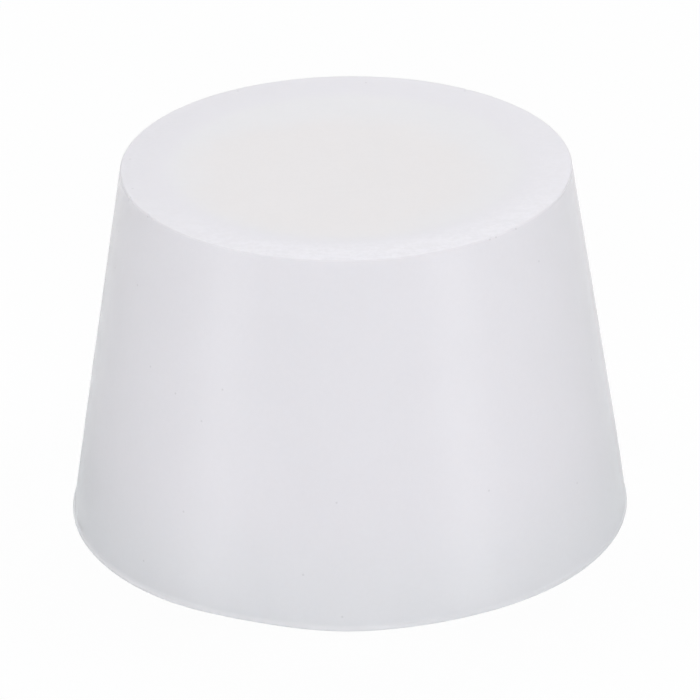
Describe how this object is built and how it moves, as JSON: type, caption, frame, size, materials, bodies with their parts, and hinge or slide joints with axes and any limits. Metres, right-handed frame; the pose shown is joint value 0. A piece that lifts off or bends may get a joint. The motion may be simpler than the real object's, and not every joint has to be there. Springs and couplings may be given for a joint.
{
  "type": "rubber stopper",
  "caption": "Solid tapered stopper of translucent white silicone rubber, standing on its wide end, pushed small end first into the neck of a flask or bottle to seal it.",
  "frame": {"origin": "middle of the wide face that the stopper stands on", "axes": "+Z along the stopper's axis, from the wide face to the small face; X and Y across it, with the camera of the picture on the -Y side"},
  "size_m": [0.0379, 0.0379, 0.025],
  "materials": {
    "silicone": "satin"
  },
  "bodies": {
    "root": {"stopper": "silicone"}
  },
  "joints": []
}
